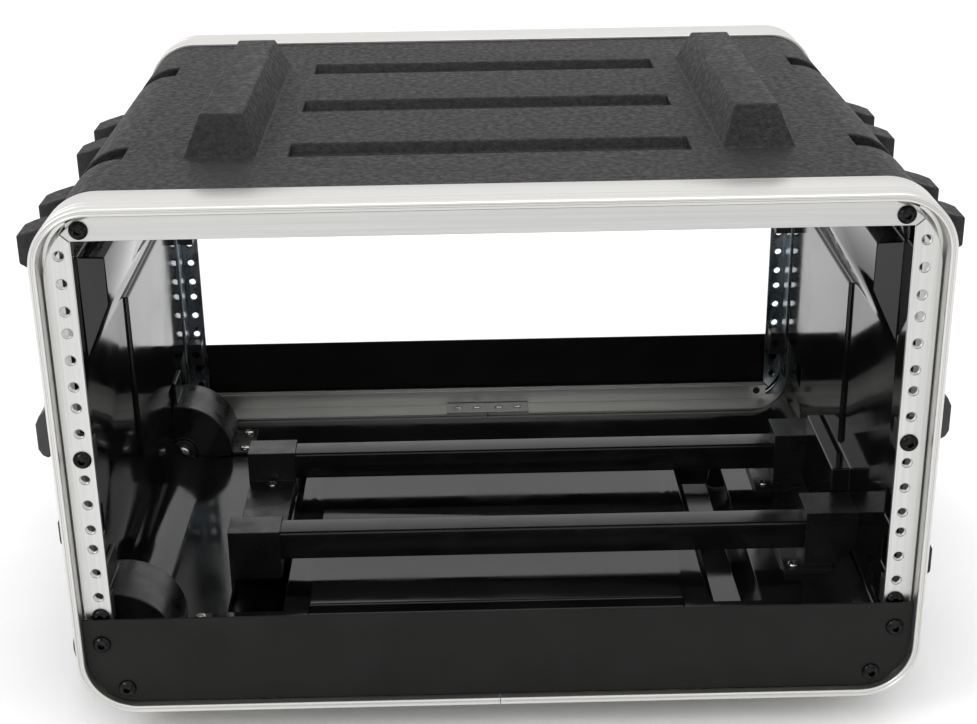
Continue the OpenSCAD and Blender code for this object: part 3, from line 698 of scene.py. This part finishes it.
# ---- Splice plates
# Where the two ends of each frame meet, a short aluminium plate is riveted across the joint on
# the inside, with four pop rivets.
rivet_metal = Finish("rivet_metal", metallic=1.0)
rivet_metal.tint(rivet_metal.mottle(300, 3), (0.5, 0.5, 0.5), (0.68, 0.68, 0.67))
rivet_metal.gloss(rivet_metal.mottle(500, 3), 0.22, 0.38)
rivet_metal.grain(rivet_metal.mottle(900, 2), 0.12, 0.04 * MM)
rivet = ring_stack("rivet", round_rings(
    (1.95, -1.5), (1.95, 0), (3.3, 0), (3.4, 0.2), (3.1, 0.65),
    (2.4, 1.0), (1.6, 1.1), (1.15, 1.05), (1.1, 0.3)), 24)
splice_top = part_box("front_splice")[1].z
SPLICE_RIVETS = (-24, -9, 9, 24)
RIVET_SET = 10 * MM
rivet_spots = []
for end, facing in (("front", -1), ("rear", 1)):
    fasten(eased(end + "_splice", strip_metal, 0.3), "case", "frame_metal", end + "_splice")
    rivet_y = facing * (-NOSE_Y - FRAME_DEPTH + RIVET_SET)
    rivet_spots += [(x * MM, rivet_y, splice_top) for x in SPLICE_RIVETS]
rivets = set_out("frame_rivets", rivet, rivet_spots, "up", rivet_metal)
fasten(rivets, "case", "frame_metal", "splice_rivets")


# ---- Pull-out handle
# Two square steel tubes, painted gloss black, lie along the floor in moulded sockets. A bright
# tube slides in each, and a slimmer one in that, and the last two carry the grip outside.
def rounded_square(size, radius, steps=4):
    """Outline of a square with rounded corners, as pairs in millimetres"""
    outline = []
    for side, level, start in ((1, 1, 0), (-1, 1, 90), (-1, -1, 180), (1, -1, 270)):
        for step in range(steps + 1):
            turn = math.radians(start + 90 * step / steps)
            outline.append((side * (size / 2 - radius) + radius * math.cos(turn),
                            level * (size / 2 - radius) + radius * math.sin(turn)))
    return outline


def square_tube(name, node, finish, wall=1.2, radius=2.2):
    """Drawn square tube in the box of its CAD node, with softened ends"""
    low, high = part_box(node)
    size = (high.y - low.y) / MM
    mid_y, mid_z = (low.y + high.y) / 2, (low.z + high.z) / 2
    skins = [(size - 2 * wall, radius - 0.9, 0.3), (size - 0.8, radius - 0.3, 0), (size, radius, 0.4)]
    stations = [(skin, low.x + skins[skin][2] * MM) for skin in (0, 1, 2)]
    stations += [(skin, high.x - skins[skin][2] * MM) for skin in (2, 1, 0)]
    form = bmesh.new()
    rows = []
    for skin, x in stations:
        shape = rounded_square(skins[skin][0], skins[skin][1])
        rows.append([form.verts.new((x, mid_y + a * MM, mid_z + b * MM)) for a, b in shape])
    for near, far in zip(rows, rows[1:] + rows[:1]):
        band(form, near, far)
    return placed(name, smooth_mesh(form, name, 35), finish)


gloss_paint = Finish("gloss_tube_paint", specular=0.36)
gloss_paint.tint(gloss_paint.mottle(40, 3), (0.006, 0.006, 0.0065), (0.011, 0.011, 0.011))
gloss_paint.gloss(gloss_paint.mottle(60, 5), 0.12, 0.26)
gloss_paint.grain(gloss_paint.mottle(260, 2), 0.1, 0.08 * MM)
bright_tube = satin_metal("bright_tube", (0.62, 0.63, 0.64), (0.74, 0.75, 0.76), 0.22, (4, 700, 700))
TUBE_KINDS = (("outer", "case", gloss_paint, "tube_paint"),
              ("middle", "middle_tubes", bright_tube, "tube_metal"),
              ("inner", "pull_handle", bright_tube, "tube_metal"))
for kind, body, finish, slot in TUBE_KINDS:
    for end in ("front", "rear"):
        node = f"{kind}_tube_{end}"
        fasten(square_tube(node + "_drawn", node, finish), body, slot, node)


# ---- Tube sockets and guide blocks
# Black moulded plastic. One moulding holds the closed ends of both tubes, and is screwed to the
# floor by the low bridge between its sockets. A guide block holds each tube against the wall
# where it leaves the case.
moulding = Finish("black_moulding", specular=0.5)
moulding.tint(moulding.mottle(30, 4), (0.007, 0.007, 0.0075), (0.013, 0.013, 0.0135))
moulding.gloss(moulding.mottle(70, 4), 0.22, 0.4)
moulding.grain(moulding.mottle(500, 2), 0.16, 0.08 * MM)
GUIDE_BLOCKS = ("upper_housing_front", "upper_housing_rear")
fasten(eased("lower_bracket", moulding, 0.5, 3), "case", "black_plastic", "lower_bracket")
for node in GUIDE_BLOCKS:
    fasten(eased(node, moulding, 0.26, 3), "case", "black_plastic", node)

screw_metal = Finish("plated_screws", metallic=1.0)
screw_metal.tint(screw_metal.mottle(400, 3), (0.52, 0.51, 0.47), (0.72, 0.71, 0.67))
screw_metal.gloss(screw_metal.mottle(700, 3), 0.16, 0.3)
screw_metal.grain(screw_metal.mottle(1200, 2), 0.12, 0.04 * MM)
SCREW_HEAD = round_rings((1.9, -3), (1.9, 0), (3.9, 0), (4.0, 0.2), (3.95, 0.7), (3.6, 1.35),
                         (3.0, 1.8), (2.45, 2.0))
SCREW_HEAD += [(cross_ring, 2.2, 1.98), (cross_ring, 1.9, 0.9)]
screw = ring_stack("screw", SCREW_HEAD, 40)
bracket_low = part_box("lower_bracket")[0]
floor_face_z = bracket_low.z
BRIDGE_TOP = floor_face_z + 12.5 * MM
BRACKET_X = bracket_low.x + 17 * MM
BRIDGE_SCREW_Y = 43 * MM
FOOT_SCREW_X = 7 * MM
FOOT_SCREW_Y = 15 * MM
FOOT_TOP = floor_face_z + 4 * MM
spots = [(BRACKET_X, s * BRIDGE_SCREW_Y, BRIDGE_TOP) for s in (-1, 1)]
for node in GUIDE_BLOCKS:
    low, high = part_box(node)
    spots += [(low.x + FOOT_SCREW_X, (low.y + high.y) / 2 + s * FOOT_SCREW_Y, FOOT_TOP) for s in (-1, 1)]
screws = set_out("bracket_screw_heads", screw, spots, "up", screw_metal, 1.5, 7)
fasten(screws, "case", "plated_steel", "bracket_screws")


# ---- Grip and release
# The grip is one moulding across the ends of the inner tubes, with a pocket for the bar. A grey
# button in its middle pushes the steel bar, and the bar pushes a rod down each tube.
grip_plastic = Finish("grip_plastic", specular=0.45)
grip_plastic.tint(grip_plastic.mottle(45, 4), (0.014, 0.014, 0.015), (0.028, 0.028, 0.029))
grip_plastic.gloss(grip_plastic.mottle(120, 3), 0.38, 0.55)
grip_plastic.grain(grip_plastic.pebbles(1400), 0.3, 0.1 * MM)
fasten(eased("handle_grip", grip_plastic, 0.35, 2), "pull_handle", "grip_plastic", "handle_grip")

button_plastic = Finish("button_plastic", specular=0.5)
button_plastic.tint(button_plastic.mottle(60, 3), (0.19, 0.19, 0.195), (0.24, 0.24, 0.245))
button_plastic.gloss(button_plastic.mottle(150, 3), 0.3, 0.42)
button_plastic.grain(button_plastic.mottle(1500, 2), 0.12, 0.05 * MM)
fasten(eased("release_button", button_plastic, 0.9, 3), "release", "button_plastic", "release_button")

plated = satin_metal("plated_steel", (0.55, 0.55, 0.53), (0.68, 0.68, 0.66), 0.26, (90, 90, 90))
for node in ("release_bar", "release_rod_front", "release_rod_rear"):
    fasten(eased(node, plated, 0.4), "release", "plated_steel", node)


# ---- Wheels
# Each wheel sits in a moulded drum let into the lower left edge. A plated axle through the
# drum's cheeks carries a plastic hub with a rubber tyre pressed over it.
for end in ("front", "rear"):
    fasten(eased("wheel_housing_" + end, moulding, 0.9, 3), "case", "black_plastic", "wheel_housing_" + end)

HOUSING_SCREW_X = 46.5 * MM
HOUSING_SCREW_Y = 14 * MM
HOUSING_FOOT_TOP = floor_face_z + 3 * MM
spots = []
for end in ("front", "rear"):
    axle_low, axle_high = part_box("axle_" + end)
    axle_x, axle_y = (axle_low.x + axle_high.x) / 2, (axle_low.y + axle_high.y) / 2
    spots += [(axle_x + HOUSING_SCREW_X, axle_y + s * HOUSING_SCREW_Y, HOUSING_FOOT_TOP) for s in (-1, 1)]
screws = set_out("housing_screw_heads", screw, spots, "up", screw_metal, 1.5, 9)
fasten(screws, "case", "plated_steel", "housing_screws")
bpy.data.objects.remove(screw)


def lathe_y(name, rings, node, finish, segments=48, closed=True):
    """A turned piece about the Y axis through the middle of its CAD node, from rings of
    (radius, place) in millimetres"""
    low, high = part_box(node)
    centre = (low + high) / 2
    form = bmesh.new()
    rows = []
    for radius, place in rings:
        row = []
        for i in range(segments):
            turn = 2 * math.pi * i / segments
            row.append(form.verts.new((centre.x + radius * MM * math.cos(turn), centre.y + place * MM,
                                       centre.z + radius * MM * math.sin(turn))))
        rows.append(row)
    last = rows[:1] if closed else []
    for near, far in zip(rows, rows[1:] + last):
        band(form, near, far)
    if not closed:
        form.faces.new(rows[0])
        form.faces.new(reversed(rows[-1]))
    return placed(name, smooth_mesh(form, name, 38), finish)


tyre_rubber = Finish("tyre_rubber", specular=0.35)
tyre_rubber.tint(tyre_rubber.mottle(80, 4), (0.012, 0.012, 0.012), (0.03, 0.029, 0.028))
tyre_rubber.gloss(tyre_rubber.mottle(200, 3), 0.55, 0.75)
tyre_rubber.grain(tyre_rubber.mottle(1400, 3), 0.35, 0.12 * MM)
hub_plastic = Finish("hub_plastic", specular=0.45)
hub_plastic.tint(hub_plastic.mottle(60, 3), (0.09, 0.09, 0.092), (0.13, 0.13, 0.132))
hub_plastic.gloss(hub_plastic.mottle(150, 3), 0.35, 0.5)
hub_plastic.grain(hub_plastic.mottle(900, 2), 0.15, 0.06 * MM)
TREAD = [(16, -12), (26.2, -12), (27.4, -11.6), (28.7, -10.4), (29.6, -8.6), (30, -6.6)]
TREAD += [(30, -4.6), (29.1, -4.3), (29.1, -3.1), (30, -2.8)]
TREAD += [(radius, -place) for radius, place in reversed(TREAD)]
HUB = [(4.06, -13.5), (6, -13.5), (8.6, -13.3), (9, -12.9), (9, -12), (10, -11.2)]
HUB += [(14.4, -11.2), (15.2, -12), (16, -12)]
HUB += [(radius, -place) for radius, place in reversed(HUB)]
AXLE = [(3.4, -29), (5.4, -29), (6.4, -28.3), (6.5, -27.6), (6.5, -25), (4, -25)]
AXLE += [(radius, -place) for radius, place in reversed(AXLE)]
for end in ("front", "rear"):
    tyre = lathe_y("tyre_" + end + "_moulded", TREAD, "tyre_" + end, tyre_rubber, 64)
    fasten(tyre, "wheel_" + end, "tyre_rubber", "tyre_" + end)
    hub = lathe_y("hub_" + end + "_moulded", HUB, "hub_" + end, hub_plastic)
    fasten(hub, "wheel_" + end, "hub_plastic", "hub_" + end)
    axle = lathe_y("axle_" + end + "_turned", AXLE, "axle_" + end, plated, 40, False)
    fasten(axle, "case", "plated_steel", "axle_" + end)


# ---- Side handles
# In a recess on each side, a black steel bail with a rubber sleeve hangs from two lugs on a
# riveted backing plate, and swings out to carry the case. Its ends are turned down to pins.
def bent_rod(name, line, finish, segments=20):
    """Round steel rod along a bent line of (point, radius)"""
    form = bmesh.new()
    rows = []
    for i, (point, radius) in enumerate(line):
        before = line[max(i - 1, 0)][0]
        after = line[min(i + 1, len(line) - 1)][0]
        along = (after - before).normalized()
        side = Vector((1, 0, 0))
        up = along.cross(side).normalized()
        rows.append([form.verts.new(point + radius * (side * math.cos(a) + up * math.sin(a)))
                     for a in (2 * math.pi * k / segments for k in range(segments))])
    for near, far in zip(rows, rows[1:]):
        band(form, near, far)
    form.faces.new(rows[0])
    form.faces.new(reversed(rows[-1]))
    return placed(name, smooth_mesh(form, name, 40), finish)


sleeve_rubber = Finish("sleeve_rubber", specular=0.35)
sleeve_rubber.tint(sleeve_rubber.mottle(90, 4), (0.010, 0.010, 0.010), (0.024, 0.024, 0.024))
sleeve_rubber.gloss(sleeve_rubber.mottle(200, 3), 0.5, 0.7)
sleeve_rubber.grain(sleeve_rubber.mottle(1500, 3), 0.3, 0.1 * MM)
BAIL_HALF = 72 * MM
BAIL_DROP = 28 * MM
BAIL_RADIUS = 3.9 * MM
UPPER_BEND = 3 * MM
LOWER_BEND = 6 * MM
UPPER_BEND_END = 77.6 * MM
SHOULDER = 79.5 * MM
PIN_END = 86 * MM
PIN_RADIUS = 2.9 * MM


def bail_line(x, pivot_z):
    """Line of the bail: a thin pin in one lug, a shoulder, down, across, up and the other pin"""
    def at(y, z, radius=BAIL_RADIUS):
        return Vector((x, y, z)), radius

    half = [at(PIN_END, pivot_z, PIN_RADIUS), at(SHOULDER, pivot_z, PIN_RADIUS),
            at(SHOULDER, pivot_z), at(UPPER_BEND_END, pivot_z)]
    for degrees in (80, 60, 40, 20, 0):
        turn = math.radians(degrees)
        half.append(at(BAIL_HALF + UPPER_BEND * (1 - math.cos(turn)),
                       pivot_z - UPPER_BEND * (1 - math.sin(turn))))
    low_z = pivot_z - BAIL_DROP
    for degrees in (0, 22, 45, 68, 90):
        turn = math.radians(degrees)
        half.append(at(BAIL_HALF - LOWER_BEND * (1 - math.cos(turn)),
                       low_z + LOWER_BEND * (1 - math.sin(turn))))
    return half + [(Vector((x, -point.y, point.z)), radius) for point, radius in reversed(half)]


SLEEVE = [(4, -64), (5.8, -64), (6.6, -63.4), (7, -62.4)]
RIB_COUNT = 14
RIBS_HALF = 56
for rib in range(RIB_COUNT):
    start = -RIBS_HALF + rib * 2 * RIBS_HALF / RIB_COUNT
    SLEEVE += [(7, start), (6.5, start + 0.8), (6.5, start + 1.6), (7, start + 2.4)]
SLEEVE += [(7, 62.4), (6.6, 63.4), (5.8, 64), (4, 64)]
BAIL_RISE = 4 * MM
RIVET_HEAD = 1.5 * MM
PLATE_RIVETS = (-91, -40, 40, 91)
rivets_low, rivets_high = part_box("handle_rivets")
rivet_z = (rivets_low.z + rivets_high.z) / 2
handle_rivet_rows = []
for side, facing in (("left", -1), ("right", 1)):
    low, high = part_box("side_handle_" + side)
    bail_x, pivot_z = (low.x + high.x) / 2, high.z - BAIL_RISE
    bail = bent_rod("side_bail_" + side, bail_line(bail_x, pivot_z), black_steel)
    fasten(bail, "bail_" + side, "black_steel", "side_handle_" + side)
    sleeve = lathe_y("side_sleeve_" + side, SLEEVE, "side_grip_" + side, sleeve_rubber, 32)
    fasten(sleeve, "bail_" + side, "rubber", "side_grip_" + side)
    plate = "handle_plate_" + side
    fasten(eased(plate, black_steel, 0.2), "case", "black_steel", plate)
    plate_face = facing * (abs(rivets_high.x) - RIVET_HEAD)
    spots = [(plate_face, y * MM, rivet_z) for y in PLATE_RIVETS]
    handle_rivet_rows.append(set_out("handle_rivets_" + side, rivet, spots, side, rivet_metal))
fasten(joined("handle_rivet_heads", handle_rivet_rows), "case", "plated_steel", "handle_rivets")
bpy.data.objects.remove(rivet)


# ---- Latch keepers
# Black steel catches near the ends of both sides, hooked at the lower end, for the latches of
# the lids.
for end in ("front", "rear"):
    for side in ("left", "right"):
        node = f"latch_keeper_{end}_{side}"
        fasten(eased(node, black_steel, 1.1, 3), "case", "black_steel", node)
